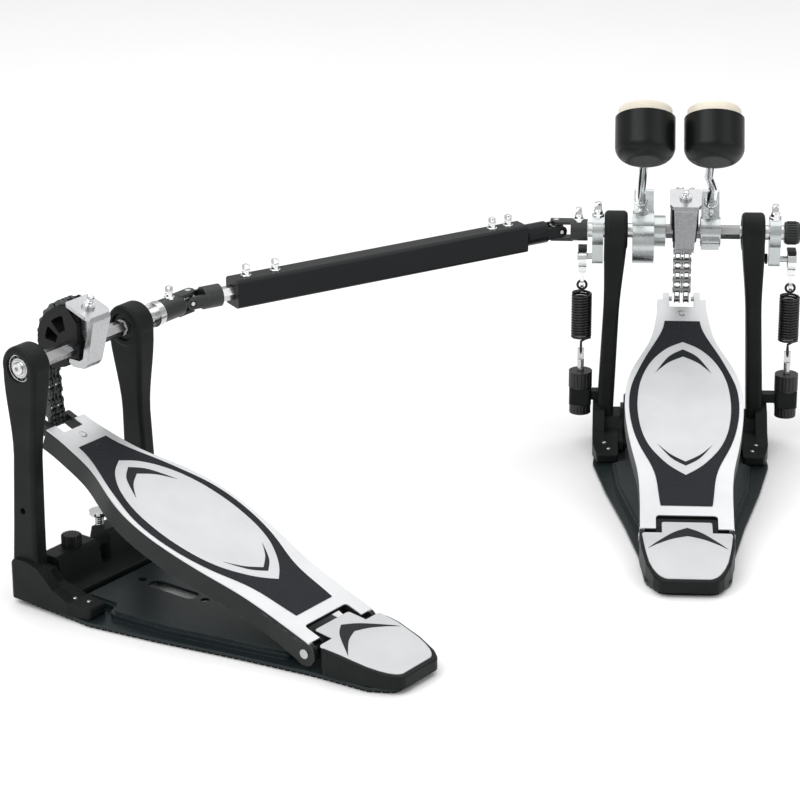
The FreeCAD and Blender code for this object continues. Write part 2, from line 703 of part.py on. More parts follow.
def right_holder(rod_shape):
    body = holder_body(13.6, 27.4, -13, 33, 9.5, 2.5)
    ring = xcyl(12.6, 28.4, 0, AXLE_Z, 12.0)
    shape = fuse([body, ring])
    return cut(shape, [hex_bar(0, 40, HEX_AF), rod_shape, key_recess(20.5, 12.0)])


# -------------------------------------------------------------------- springs
def spring_lug(side):
    x = SPRING_X[side]
    sign = 1 if x > 0 else -1
    block = flat_plate([(x - 9, -8), (x - 9, 8), (x + 9, 8), (x + 9, -8)], 32.5, 46, 3.0)
    arm = box(min(sign * 62, x), max(sign * 62, x), -4.5, 4.5, 36.0, 43.5)
    return fuse([block, arm]).cut(zcyl(x, 0, 20, 60, 2.8))


def knurled(x, z0, z1, radius):
    nut = zcyl(x, 0, z0, z1, radius)
    tools = []
    for k in range(18):
        angle = math.radians(20.0 * k)
        cx = x + (radius + 0.45) * math.cos(angle)
        cy = (radius + 0.45) * math.sin(angle)
        tools.append(zcyl(cx, cy, z0 + 1.2, z1 - 1.2, 0.95))
    return cut(nut, tools)


def tension_rod(side):
    """Threaded rod with two hand nuts and a flattened, drilled end for the spring."""
    x = SPRING_X[side]
    stem = zcyl(x, 0, 22, 70, 2.75)
    nut_low = knurled(x, 24, 32.2, 8.7)
    nut_high = knurled(x, 46.3, 60, 9.5)
    blade = box(x - 2.7, x + 2.7, -1.15, 1.15, 69, EYE_Z + 0.2)
    hole = rod((x, -5, EYE_Z - EYE_R), (x, 5, EYE_Z - EYE_R), WIRE_R + 0.4)
    return fuse([stem, nut_low, nut_high, blade]).cut(hole)


def ring_wire(centre, axis, radius):
    return Part.makeTorus(radius, WIRE_R, V(*centre), V(*axis))


def spring(side):
    x = SPRING_X[side]
    low = 88.0
    high = 127.0
    turns = 13
    pitch = (high - low) / turns
    path = Part.makeHelix(pitch, high - low, SPRING_R)
    circle = Part.Wire(Part.makeCircle(WIRE_R, V(SPRING_R, 0, 0), V(0, 1, 0.06)))
    coil = Part.Wire(path).makePipeShell([circle], True, True)
    coil.translate(V(x, 0, low))
    lower = rod((x - 0.4, 0, low), (x + SPRING_R, 0, low), WIRE_R)
    upper = rod((x - 0.4, 0, high), (x + SPRING_R, 0, high), WIRE_R)
    stem_a = zcyl(x, 0, EYE_Z + 3.4, low, WIRE_R)
    stem_b = zcyl(x, 0, high, TOP_EYE_Z - TOP_EYE_R, WIRE_R)
    eye = ring_wire((x, 0, EYE_Z), (1, 0, 0), EYE_R)
    top = ring_wire((x, 0, TOP_EYE_Z), (0, 1, 0), TOP_EYE_R)
    return Part.Compound([fuse([coil, lower, upper, stem_a, stem_b, eye, top])])


def hanger(side):
    """Strap from the spring's top ring to a loop round the rocker's pin."""
    x = SPRING_X[side]
    top = AXLE_Z - ROCKER_ARM - 1.5
    ring = xcyl(x - 3.2, x + 3.2, 0, top, 8.3)
    low = xcyl(x - 1.4, x + 1.4, 0, STRAP_Z, 4.4)
    neck = [(-3.4, STRAP_Z + 1), (-3.8, top - 4), (3.8, top - 4), (3.4, STRAP_Z + 1)]
    saddle = [(-5, top - 11), (-6.2, top - 4), (6.2, top - 4), (5, top - 11)]
    shape = fuse([ring, low, side_plate(neck, x - 1.4, x + 1.4), side_plate(saddle, x - 3.2, x + 3.2, 1.0)])
    return cut(shape, [xcyl(x - 6, x + 6, 0, top, 6.0), xcyl(x - 6, x + 6, 0, STRAP_Z, 2.7)])


# ---------------------------------------------------------------- drive shaft
def slave_joint():
    angle = math.radians(SLAVE_YAW)
    return V(SLAVE_X + SLAVE_JOINT_X * math.cos(angle), SLAVE_Y + SLAVE_JOINT_X * math.sin(angle), AXLE_Z)


def drive_line():
    start = V(JOINT_X, 0, AXLE_Z)
    line = slave_joint() - start
    return start, line.Length, math.degrees(math.atan2(line.y, line.x))


def along_drive(shape):
    """From the X axis (x = distance from the main joint) to the drive line."""
    start, size, angle = drive_line()
    shape.translate(V(0, 0, -AXLE_Z))
    shape.rotate(V(0, 0, 0), V(0, 0, 1), angle)
    shape.translate(start)
    return shape


def drive_yoke(x_pivot, facing, shaft_end):
    """Yoke whose ears stand level, with a free hole for the open pin."""
    shape = yoke(x_pivot, facing, shaft_end)
    shape.rotate(V(0, 0, AXLE_Z), V(1, 0, 0), 90)
    return shape.cut(rod((x_pivot, -30, AXLE_Z), (x_pivot, 30, AXLE_Z), OPEN_PIN_R + 1.05))


def drive_tube():
    half_w = 10.0
    section = [(-half_w, AXLE_Z - 11), (-half_w, AXLE_Z + 9), (-half_w + 3, AXLE_Z + 11),
               (half_w - 3, AXLE_Z + 11), (half_w, AXLE_Z + 9), (half_w, AXLE_Z - 11)]
    body = side_plate(section, TUBE_START, TUBE_END, 2.5)
    neck = xcyl(TUBE_START - 4, TUBE_START + 1, 0, AXLE_Z, 6.5)
    bore = hex_bar(TUBE_START + 30, TUBE_END + 5, HEX_AF + 0.9)
    shape = fuse([body, neck, drive_yoke(0.0, -1, TUBE_START - 2)])
    return along_drive(shape.cut(bore))


def drive_rod():
    size = drive_line()[1]
    bar = hex_bar(size - 200, size - 20, HEX_AF)
    return along_drive(fuse([bar, drive_yoke(size, 1, size - 26)]))


def cross(pivot, line_angle):
    block = box(-4.5, 4.5, -4.5, 4.5, AXLE_Z - 4.5, AXLE_Z + 4.5)
    block = block.makeFillet(1.2, block.Edges)
    upright = zcyl(0, 0, AXLE_Z - YOKE_R, AXLE_Z + YOKE_R, CROSS_PIN_R)
    level = rod((0, -YOKE_R, AXLE_Z), (0, YOKE_R, AXLE_Z), OPEN_PIN_R)
    shape = fuse([block, upright, level])
    shape.rotate(V(0, 0, 0), V(0, 0, 1), line_angle)
    shape.translate(V(pivot.x, pivot.y, 0))
    return shape


# ----------------------------------------------------------------- hoop clamp
def clamp_jaw():
    arm = side_plate([(3, 24), (3, 34), (20, 33), (32, 28), (34, 20), (30, 19.5), (28, 23), (12, 24)],
                     -24, 44, 1.5)
    arm = cut(arm, [box(24, 50, -10, 8.6, 0, 60), box(24, 32.2, -10, 12.0, 0, 60)])
    barrel = xcyl(-24, 24, 2, 29, 5.0)
    pin = xcyl(-29.6, 29.6, 2, 29, 2.45)
    shape = fuse([arm, barrel, pin])
    shape = shape.cut(box(24, 50, 21, 60, 0, 60))
    return shape.cut(zcyl(35, 12, 0, 60, 4.6))


def clamp_knob():
    stem = zcyl(35, 12, 6, 46, 3.0)
    flange = zcyl(35, 12, 34.6, 37, 6.5)
    cap = zcyl(35, 12, 45, 54, 10.0)
    cap = cap.makeFillet(4.0, [cap.Edges[0]])
    return fuse([stem, flange, cap])


# ------------------------------------------------------------------- assembly
def pedal(prefix, place, is_main):
    posts = [post(-1), post(1)]
    save(prefix + "_base_plate", place(base_plate(is_main)))
    save(prefix + "_base_pad", place(base_pad(is_main)))
    save(prefix + "_front_block", place(front_block(posts, is_main)))
    save(prefix + "_posts", place(Part.Compound(posts)))
    save(prefix + "_bearings", place(Part.Compound([bearing(-1), bearing(1)])))
    save(prefix + "_heel", place(heel()))
    save(prefix + "_heel_pin", place(heel_pin()))
    save(prefix + "_footboard", place(footboard()))
    save(prefix + "_grip", place(grip()))
    save(prefix + "_cam", place(cam()))
    save(prefix + "_cam_bracket", place(cam_bracket()))
    chain(prefix, place)


def main_only():
    save("main_shaft", main_shaft())
    save("block_knob", block_knob())
    save("hoop_clamp_jaw", clamp_jaw())
    save("hoop_clamp_knob", clamp_knob())
    posts = Part.Compound([post(-1), post(1)])
    lugs = [spring_lug(side).cut(posts) for side in ("left", "right")]
    save("spring_lugs", Part.Compound(lugs))
    save("tension_rods", Part.Compound([tension_rod("left"), tension_rod("right")]))
    for side in ("left", "right"):
        save(side + "_spring", spring(side))
        save(side + "_hanger", hanger(side))
    save("left_rocker", rocker(-1, 64.8, 73.5, 85.0))
    save("right_rocker", rocker(1, 67.5, 76.5, 90.0))
    save("left_shaft", left_shaft())
    beater("left", -35.5, -35.5)
    beater("right", 20.7, 16.4)


def beater(side, x_hub, x_head):
    bar = beater_rod(x_hub, x_head)
    holder = left_hub(bar) if side == "left" else right_holder(bar)
    save(side + "_beater_holder", holder)
    save(side + "_beater_rod", bar)
    save(side + "_beater_shell", beater_shell(x_head, bar))
    save(side + "_beater_felt", beater_felt(x_head))


def drive_only():
    start, size, angle = drive_line()
    save("slave_shaft", to_slave(slave_shaft()))
    save("drive_tube", drive_tube())
    save("drive_rod", drive_rod())
    save("main_cross", cross(start, angle))
    save("slave_cross", cross(slave_joint(), angle))


pedal("main", same_place, True)
pedal("slave", to_slave, False)
main_only()
drive_only()
print(len(os.listdir("parts")), "parts")
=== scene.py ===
"""Looks of the twin bass drum pedal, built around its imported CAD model.

Shapes are written in millimetres, in the frame of the main pedal, of the second pedal,
of a footboard or of the drive shaft; piece() turns them into metres.
"""
import json
import math

import bmesh
import bpy
from mathutils import Matrix, Vector


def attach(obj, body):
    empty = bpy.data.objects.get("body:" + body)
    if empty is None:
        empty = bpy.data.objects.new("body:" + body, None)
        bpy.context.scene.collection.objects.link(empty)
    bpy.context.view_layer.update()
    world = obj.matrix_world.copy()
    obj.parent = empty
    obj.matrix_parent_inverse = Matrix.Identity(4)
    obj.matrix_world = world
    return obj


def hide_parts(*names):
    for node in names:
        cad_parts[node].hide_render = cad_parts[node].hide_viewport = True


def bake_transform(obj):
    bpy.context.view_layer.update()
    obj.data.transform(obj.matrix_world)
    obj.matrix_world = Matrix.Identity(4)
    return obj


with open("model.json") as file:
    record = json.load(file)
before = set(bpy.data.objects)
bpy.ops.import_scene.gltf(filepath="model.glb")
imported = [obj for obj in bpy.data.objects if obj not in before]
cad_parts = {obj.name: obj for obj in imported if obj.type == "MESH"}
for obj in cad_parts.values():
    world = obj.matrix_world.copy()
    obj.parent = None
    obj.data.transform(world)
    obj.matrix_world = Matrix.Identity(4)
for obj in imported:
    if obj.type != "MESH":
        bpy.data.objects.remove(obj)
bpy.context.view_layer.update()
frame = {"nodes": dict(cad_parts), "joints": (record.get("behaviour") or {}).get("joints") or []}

MM = 0.001
JOINTS = {joint["name"]: joint for joint in frame["joints"]}
NODES = frame["nodes"]

# Places that everything else hangs on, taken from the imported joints.
AXLE_Z = JOINTS["main_axle_spin"]["pos_m"][2] / MM
SLAVE_ORIGIN = Vector(JOINTS["slave_axle_spin"]["pos_m"]) / MM
SLAVE_AXIS = -Vector(JOINTS["slave_axle_spin"]["axis"])
DRIVE_START = Vector(JOINTS["tube_spin"]["pos_m"]) / MM
DRIVE_AXIS = Vector(JOINTS["tube_spin"]["axis"])
DRIVE_SIZE = (Vector(JOINTS["slave_cross_turn"]["pos_m"]) / MM - DRIVE_START).length

# The footboard's top face: lower end and slope.
BOARD_Y = -237.4
BOARD_Z = 24.6
BOARD_SLOPE = math.radians(19.7)
# Below PLATE_Z the board is black: its real paint, and round the grip's recess also a thin painted shadow
# line.
PLATE_Z = -0.9            # silver above this height in the board's frame
TOE_LUGS_Y = 264.5        # the chain's lugs start here, along the board
TOE_LUGS_X = 16.0

# The heel's top: two slopes that meet at HEEL_BEND, an (y, z) point.
HEEL_BEND = (-262.0, 22.0)
HEEL_REAR_SLOPE = 0.2073
HEEL_FRONT_SLOPE = 2.2 / 19.0

POST_X = 54.6
BEARING_EDGE = 6.95       # half width of a bearing
PIN_DROP = 22.0           # rocker pins hang this far under the axle
SPRING_EYE_Z = 79.0       # lower and upper ends of the return springs
SPRING_RING_Z = 133.6
BEATER_LEAN = math.radians(53.0)
ROD_SIDE = 22.0           # the beater rods run this far in front of the axle
HEAD_DIST = 152.0         # from the axle to a beater head's centre, along the rod
HEAD_COLLAR = HEAD_DIST - 22.2
HOLDER_SCREW = (9.4, 12.0)   # along the rod and in front of the axle
TUBE_TOP = 11.0           # above the drive shaft's centre line
YOKE_TOP = 8.4            # above an axle's centre line

# Where each beater's parts stand along the axle; the collar lies along its rod.
SIDES = {"left": {"sign": -1, "axle": "left_axle", "spring": -81.0, "rocker": -69.2,
                  "hub": -35.5, "head": -35.5, "collar": 11.6},
         "right": {"sign": 1, "axle": "main_axle", "spring": 86.0, "rocker": 72.0,
                   "hub": 20.7, "head": 16.4, "collar": 9.6}}

MAIN = Matrix.Identity(4)
SLAVE_TURN = math.atan2(SLAVE_AXIS.y, SLAVE_AXIS.x)
SLAVE = Matrix.Translation((SLAVE_ORIGIN.x, SLAVE_ORIGIN.y, 0)) @ Matrix.Rotation(SLAVE_TURN, 4, "Z")
BOARD = Matrix.Translation((0, BOARD_Y, BOARD_Z)) @ Matrix.Rotation(BOARD_SLOPE, 4, "X")
DRIVE_TURN = math.atan2(DRIVE_AXIS.y, DRIVE_AXIS.x)
DRIVE = Matrix.Translation(DRIVE_START) @ Matrix.Rotation(DRIVE_TURN, 4, "Z")
PEDALS = {"main": (MAIN, "base", "main_board", "main_axle"),
          "slave": (SLAVE, "slave_base", "slave_board", "slave_axle")}


# ------------------------------------------------------------------ node help
def add(tree, kind, values=None, **settings):
    """A shader node with its settings and input values."""
    item = tree.nodes.new(kind)
    for key, value in settings.items():
        setattr(item, key, value)
    for key, value in (values or {}).items():
        item.inputs[key].default_value = value
    return item


def join(tree, source, out, target, into):
    tree.links.new(source.outputs[out], target.inputs[into])


def local_coords(tree, place=None):
    """Object coordinates, in a pedal's or a board's own frame when one is given."""
    coords = add(tree, "ShaderNodeTexCoord")
    if place is None:
        return coords, "Object"
    mapping = add(tree, "ShaderNodeMapping", vector_type="TEXTURE")
    mapping.inputs["Location"].default_value = place.to_translation() * MM
    mapping.inputs["Rotation"].default_value = place.to_euler("XYZ")
    join(tree, coords, "Object", mapping, "Vector")
    return mapping, "Vector"


def noise(tree, coords, scale, detail=4.0, stretch=None):
    source, out = coords
    item = add(tree, "ShaderNodeTexNoise", {"Scale": scale, "Detail": detail})
    if stretch:
        mapping = add(tree, "ShaderNodeMapping", {"Scale": stretch})
        join(tree, source, out, mapping, "Vector")
        source, out = mapping, "Vector"
    join(tree, source, out, item, "Vector")
    return item


def remap(tree, source, out, low, high, to_low, to_high):
    item = add(tree, "ShaderNodeMapRange", {"From Min": low, "From Max": high,
                                            "To Min": to_low, "To Max": to_high})
    join(tree, source, out, item, "Value")
    return item


def blend_colour(tree, factor, first, second):
    """Mix node; first and second are colours or (node, output) pairs."""
    item = add(tree, "ShaderNodeMix", data_type="RGBA")
    join(tree, factor[0], factor[1], item, 0)
    for index, value in ((6, first), (7, second)):
        if isinstance(value[0], bpy.types.Node):
            tree.links.new(value[0].outputs[value[1]], item.inputs[index])
        else:
            item.inputs[index].default_value = (*value, 1.0)
    return item, 2


# Masks: each gives a function that adds a node that is 1 inside and 0 outside.
def local_value(tree, place, axis):
    """One coordinate in a place's own frame, as a (node, output) pair."""
    source, out = local_coords(tree, place)
    parts = add(tree, "ShaderNodeSeparateXYZ")
    join(tree, source, out, parts, "Vector")
    return parts, axis


def above(place, axis, limit):
    """Where the local coordinate is over the limit."""
    def build(tree):
        test = add(tree, "ShaderNodeMath", operation="GREATER_THAN")
        join(tree, *local_value(tree, place, axis), test, 0)
        test.inputs[1].default_value = limit * MM
        return test
    return build


def within(place, axis, limit):
    """Where the local coordinate is nearer to 0 than the limit."""
    def build(tree):
        size = add(tree, "ShaderNodeMath", operation="ABSOLUTE")
        join(tree, *local_value(tree, place, axis), size, 0)
        test = add(tree, "ShaderNodeMath", operation="LESS_THAN")
        join(tree, size, 0, test, 0)
        test.inputs[1].default_value = limit * MM
        return test
    return build


def combine(operation, first, second):
    """Two masks in one: MAXIMUM for either of them, MULTIPLY for both."""
    def build(tree):
        test = add(tree, "ShaderNodeMath", operation=operation)
        join(tree, first(tree), 0, test, 0)
        join(tree, second(tree), 0, test, 1)
        return test
    return build


# ------------------------------------------------------------------ materials
def tone(colour, metallic, rough, drift=0.75):
    """A surface tone; drift is how dark its darker patches get."""
    return {"colour": colour, "alt": tuple(c * drift for c in colour), "metallic": metallic, "rough": rough}


BLACK_PAINT = {"colour": (0.006, 0.0075, 0.0075), "alt": (0.011, 0.013, 0.013),
               "metallic": 0.0, "rough": 0.42}
SILVER = {"colour": (0.68, 0.69, 0.70), "alt": (0.63, 0.64, 0.65), "metallic": 0.6, "rough": 0.36}
STEEL = tone((0.72, 0.72, 0.72), 1.0, 0.22)


def finish(name, base, grain=700.0, bump=0.08, wear=(0.10, 0.10, 0.10), wear_amount=0.35, edge=0.35,
           stretch=None, level=0.5, coat=0.0, other=None, mask=None, pattern="noise"):
    """Procedural surface: broad colour drift, fine grain, edge wear and bump.

    base and other are tones, and other shows where the mask is 1. grain is the fine
    pattern's scale per metre, and edge is the radius of the softened edges.
    """
    material = bpy.data.materials.new(name)
    material.use_nodes = True
    tree = material.node_tree
    shader = tree.nodes["Principled BSDF"]
    shader.inputs["Metallic"].default_value = base["metallic"]
    shader.inputs["Specular IOR Level"].default_value = level
    shader.inputs["Coat Weight"].default_value = coat
    coords = local_coords(tree)
    fine = noise(tree, coords, grain, 3.0, stretch)
    drift = remap(tree, noise(tree, coords, 38.0, 5.0), "Fac", 0.3, 0.7, 0.0, 1.0)
    colour = blend_colour(tree, (drift, "Result"), base["colour"], base["alt"])
    rough = remap(tree, fine, "Fac", 0.25, 0.75, 0.82 * base["rough"], 1.2 * base["rough"]), "Result"
    if mask:
        test = mask(tree)
        second = blend_colour(tree, (drift, "Result"), other["colour"], other["alt"])
        colour = blend_colour(tree, (test, 0), colour, second)
        rough = mix_values(tree, shader, test, rough, base, other)
    bevel = add(tree, "ShaderNodeBevel", {"Radius": edge * MM}, samples=4)
    colour = blend_colour(tree, edge_wear(tree, coords, bevel, wear_amount), colour, wear)
    join(tree, *colour, shader, "Base Color")
    join(tree, *rough, shader, "Roughness")
    height = fine, "Fac"
    if pattern == "pebble":
        cells = add(tree, "ShaderNodeTexVoronoi", {"Scale": grain}, feature="SMOOTH_F1")
        join(tree, *coords, cells, "Vector")
        height = cells, "Distance"
    relief = add(tree, "ShaderNodeBump", {"Strength": bump, "Distance": 0.0006})
    join(tree, *height, relief, "Height")
    join(tree, bevel, "Normal", relief, "Normal")
    join(tree, relief, "Normal", shader, "Normal")
    return material


def mix_values(tree, shader, test, rough, base, other):
    """Moves metallic and roughness from the base tone to the other where the mask is 1."""
    metal = remap(tree, test, 0, 0.0, 1.0, base["metallic"], other["metallic"])
    join(tree, metal, "Result", shader, "Metallic")
    shift = remap(tree, test, 0, 0.0, 1.0, 0.0, other["rough"] - base["rough"])
    total = add(tree, "ShaderNodeMath", operation="ADD")
    join(tree, *rough, total, 0)
    join(tree, shift, "Result", total, 1)
    return total, 0


def edge_wear(tree, coords, bevel, amount):
    """Patchy mask that is above 0 only along the edges."""
    geometry = add(tree, "ShaderNodeNewGeometry")
    dot = add(tree, "ShaderNodeVectorMath", operation="DOT_PRODUCT")
    join(tree, bevel, "Normal", dot, 0)
    join(tree, geometry, "Normal", dot, 1)
    edges = remap(tree, dot, "Value", 0.995, 0.86, 0.0, 1.0)
    patchy = remap(tree, noise(tree, coords, 160.0, 6.0), "Fac", 0.42, 0.62, 0.0, amount)
    worn = add(tree, "ShaderNodeMath", operation="MULTIPLY")
    join(tree, edges, "Result", worn, 0)
    join(tree, patchy, "Result", worn, 1)
    return worn, 0


def board_finish(name, place, bright_toe):
    """Black board with a silver top, where the black showing round the grip's recess is also a thin painted
    shadow line; the lugs at the toe are silver too on a bright toe.
    """
    silver = above(place @ BOARD, "Z", PLATE_Z)
    if bright_toe:
        lugs = combine("MULTIPLY", above(place @ BOARD, "Y", TOE_LUGS_Y),
                       within(place @ BOARD, "X", TOE_LUGS_X))
        silver = combine("MAXIMUM", silver, lugs)
    return finish(name, BLACK_PAINT, other=SILVER, mask=silver, grain=900.0, level=0.3, bump=0.03,
                  stretch=(6.0, 1.0, 1.0), wear=(0.45, 0.45, 0.46), wear_amount=0.5)


def shaft_finish(name, place, limit):
    """Ground steel shaft that is black past the limit along the axle."""
    return finish(name, STEEL, other=BLACK_PAINT, mask=above(place, "X", limit), grain=600.0, bump=0.03,
                  stretch=(0.3, 3.0, 3.0), wear=(0.85, 0.85, 0.85))


def painted_finishes():
    """Paint, plastic, rubber and leather."""
    made = {}
    made["casting"] = finish("black_casting", BLACK_PAINT, grain=1500.0, bump=0.14, edge=0.6, level=0.12)
    made["plate"] = finish("base_plate_paint", tone((0.014, 0.022, 0.024), 0.15, 0.36), grain=1100.0,
                           bump=0.05, edge=0.6, level=0.3)
    made["rubber"] = finish("pad_rubber", tone((0.012, 0.012, 0.013), 0.0, 0.78), grain=1600.0,
                            bump=0.3, wear=(0.05, 0.05, 0.05), level=0.25)
    made["grip"] = finish("grip_leather", tone((0.006, 0.008, 0.012), 0.0, 0.52), grain=900.0,
                          bump=0.5, pattern="pebble", wear=(0.03, 0.03, 0.04), level=0.22)
    made["cam"] = finish("cam_plastic", tone((0.009, 0.009, 0.009), 0.0, 0.46), grain=900.0,
                         bump=0.10, level=0.2)
    made["tension"] = finish("tension_black", tone((0.014, 0.015, 0.015), 0.2, 0.38), grain=900.0,
                             bump=0.06, other=tone((0.70, 0.70, 0.71), 1.0, 0.22),
                             mask=above(MAIN, "Z", 60.5), wear=(0.2, 0.2, 0.2), edge=0.3)
    made["knob"] = finish("knob_plastic", tone((0.009, 0.009, 0.010), 0.0, 0.46), grain=900.0,
                          bump=0.1, level=0.25)
    made["clamp"] = finish("clamp_black", BLACK_PAINT, grain=1200.0, bump=0.1, level=0.2)
    made["spring"] = finish("spring_black", tone((0.012, 0.012, 0.012), 0.3, 0.30), grain=800.0,
                            bump=0.04, wear=(0.1, 0.1, 0.1))
    made["beater"] = finish("beater_black", tone((0.004, 0.005, 0.005), 0.0, 0.34, 0.8), grain=420.0,
                            bump=0.03, level=0.2, coat=0.03, wear=(0.05, 0.05, 0.05), edge=0.5)
    made["tube"] = finish("tube_black", tone((0.006, 0.007, 0.008), 0.1, 0.34), grain=900.0,
                          bump=0.04, stretch=(1.0, 1.0, 4.0), wear=(0.10, 0.10, 0.10), edge=0.5,
                          level=0.22)
    made["inlay"] = finish("inlay_black", tone((0.008, 0.011, 0.013), 0.0, 0.44), grain=900.0,
                           bump=0.05, edge=0.2, level=0.2)
    return made


def metal_finishes():
    """Turned, cast, stamped and plated metal."""
    made = {}
    made["steel"] = finish("turned_steel", tone((0.66, 0.66, 0.67), 1.0, 0.22), grain=500.0,
                           bump=0.03, stretch=(0.4, 3.0, 3.0), wear=(0.9, 0.9, 0.9))
    made["race"] = finish("bearing_steel", tone((0.13, 0.14, 0.13), 1.0, 0.22), grain=500.0,
                          bump=0.02, wear=(0.6, 0.6, 0.58))
    made["pin"] = finish("pin_steel", tone((0.62, 0.62, 0.62), 1.0, 0.26), grain=700.0, bump=0.03,
                         wear=(0.9, 0.9, 0.9))
    made["bracket"] = finish("bracket_silver", tone((0.50, 0.51, 0.52), 0.95, 0.26, 0.9), grain=260.0,
                             bump=0.012, wear=(0.58, 0.59, 0.60), edge=0.3)
    made["chain"] = finish("chain_steel", tone((0.42, 0.43, 0.43), 1.0, 0.30, 0.6), grain=900.0,
                           bump=0.04, wear=(0.75, 0.75, 0.75), edge=0.2)
    made["chain_dark"] = finish("chain_dark", tone((0.085, 0.095, 0.095), 0.9, 0.30, 0.6),
                                grain=900.0, bump=0.04, wear=(0.4, 0.4, 0.4), edge=0.2)
    made["chrome"] = finish("bright_chrome", tone((0.82, 0.83, 0.84), 1.0, 0.10, 0.92), grain=300.0,
                            bump=0.015, wear=(0.98, 0.98, 0.98), edge=0.3)
    made["cast_silver"] = finish("cast_silver", tone((0.54, 0.57, 0.57), 1.0, 0.25, 0.9), grain=260.0,
                                 bump=0.012, wear=(0.60, 0.63, 0.63), edge=0.3)
    made["emblem"] = finish("emblem_silver", tone((0.60, 0.61, 0.62), 0.45, 0.42, 0.92), grain=1200.0,
                            bump=0.05, stretch=(8.0, 1.0, 1.0), wear=(0.85, 0.85, 0.85), edge=0.2)
    return made


def felt():
    """Pressed cream felt: soft fibres in the bump and a slight sheen."""
    material = finish("beater_felt", tone((0.80, 0.74, 0.62), 0.0, 0.92, 0.86), grain=1300.0, bump=0.9,
                      wear=(0.86, 0.82, 0.72), wear_amount=0.6, edge=0.8, level=0.15)
    shader = material.node_tree.nodes["Principled BSDF"]
    shader.inputs["Sheen Weight"].default_value = 0.35
    return material


MATERIALS = {**painted_finishes(), **metal_finishes(), "felt": felt()}

# Which CAD nodes wear which material; the second and third tables leave out the pedal or side.
SINGLE_NODES = {"casting": ["spring_lugs"], "tension": ["tension_rods"], "knob": ["block_knob"],
                "clamp": ["hoop_clamp_jaw"], "chrome": ["hoop_clamp_knob"], "tube": ["drive_tube"]}
PEDAL_NODES = {"casting": ["front_block", "posts", "heel"], "plate": ["base_plate"],
               "rubber": ["base_pad"], "race": ["bearings"], "pin": ["heel_pin", "cross"],
               "grip": ["grip"], "cam": ["cam"], "bracket": ["cam_bracket"]}
SIDE_NODES = {"chrome": ["hanger", "beater_rod"], "cast_silver": ["rocker", "beater_holder"],
              "beater": ["beater_shell"], "felt": ["beater_felt"]}
CHAIN_NODES = ["chain_top", "chain_run", "link_1", "link_2", "link_3", "link_4"]

# Where each shaft turns from bright steel to black.
MAIN_SHAFT_END = 79.5
SLAVE_SHAFT_END = 85.5
LEFT_SHAFT_END = 77.5
ROD_YOKE_SIZE = 26.5


def dress(material, names, owner=""):
    """Puts one material on CAD nodes whose names may start with a pedal's or a side's name."""
    for name in names:
        slots = NODES[owner + name].data.materials
        if len(slots) == 0:
            slots.append(material)
        for index in range(len(slots)):
            slots[index] = material


def dress_nodes():
    for key, names in SINGLE_NODES.items():
        dress(MATERIALS[key], names)
    for pedal, (place, *_) in PEDALS.items():
        for key, names in PEDAL_NODES.items():
            dress(MATERIALS[key], names, pedal + "_")
        dress(MATERIALS["chain" if pedal == "main" else "chain_dark"], CHAIN_NODES, pedal + "_")
        dress(board_finish(pedal + "_board_silver", place, pedal == "main"), ["footboard"], pedal + "_")
    for side in SIDES:
        for key, names in SIDE_NODES.items():
            dress(MATERIALS[key], names, side + "_")
    dress(shaft_finish("main_shaft_steel", MAIN, MAIN_SHAFT_END), ["main_shaft"])
    dress(shaft_finish("slave_shaft_steel", SLAVE, SLAVE_SHAFT_END), ["slave_shaft"])
    mirror = Matrix.Rotation(math.pi, 4, "Z")
    dress(shaft_finish("left_shaft_steel", mirror, LEFT_SHAFT_END), ["left_shaft"])
    drive_end = DRIVE @ Matrix.Translation((DRIVE_SIZE - ROD_YOKE_SIZE, 0, 0))
    dress(shaft_finish("rod_end_steel", drive_end, 0.0), ["drive_rod"])


# ------------------------------------------------------------------ mesh help
def circle(radius, count):
    """Points (x, y) round the origin."""
    turns = [2 * math.pi * k / count for k in range(count)]
    return [(radius * math.cos(angle), radius * math.sin(angle)) for angle in turns]


def skin(bm, low, high):
    """Faces between two loops with as many points."""
    count = len(low)
    for k in range(count):
        n = (k + 1) % count
        bm.faces.new((low[k], low[n], high[n], high[k]))


def lathe(bm, profile, place=MAIN, segments=40):
    """Turns a profile of (radius, height) round Z. A radius of 0 closes an end."""
    rings = []
    for radius, height in profile:
        points = circle(radius, segments) if radius > 1e-6 else [(0, 0)]
        rings.append([bm.verts.new(place @ Vector((x, y, height))) for x, y in points])
    for low, high in zip(rings, rings[1:]):
        if len(low) > 1 and len(high) > 1:
            skin(bm, low, high)
            continue
        for k in range(segments):
            n = (k + 1) % segments
            if len(low) == 1:
                bm.faces.new((low[0], high[k], high[n]))
            else:
                bm.faces.new((low[k], low[n], high[0]))


def ring_profile(inner, outer, low, high, soft):
    """Closed profile of a ring with softened corners."""
    return [(inner, low + soft), (inner + soft, low), (outer - soft, low), (outer, low + soft),
            (outer, high - soft), (outer - soft, high), (inner + soft, high), (inner, high - soft),
            (inner, low + soft)]


def slab(bm, outline, low, high, place=MAIN, soft=0.0):
    """Extrudes an (x, y) outline from low to high, with a chamfered top edge."""
    levels = [(0.0, low), (0.0, high - soft)]
    if soft:
        levels.append((soft, high))
    middle = Vector((sum(p[0] for p in outline), sum(p[1] for p in outline))) / len(outline)
    loops = []
    for inset, height in levels:
        loop = []
        for x, y in outline:
            away = Vector((x, y)) - middle
            point = Vector((x, y)) - away.normalized() * inset
            loop.append(bm.verts.new(place @ Vector((point.x, point.y, height))))
        loops.append(loop)
    for under, over in zip(loops, loops[1:]):
        skin(bm, under, over)
    bm.faces.new(list(reversed(loops[0])))
    bm.faces.new(loops[-1])


def square(half, corner):
    """Outline of a square with cut corners."""
    a, b = half, half - corner
    return [(a, -b), (a, b), (b, a), (-b, a), (-a, b), (-a, -b), (-b, -a), (b, -a)]


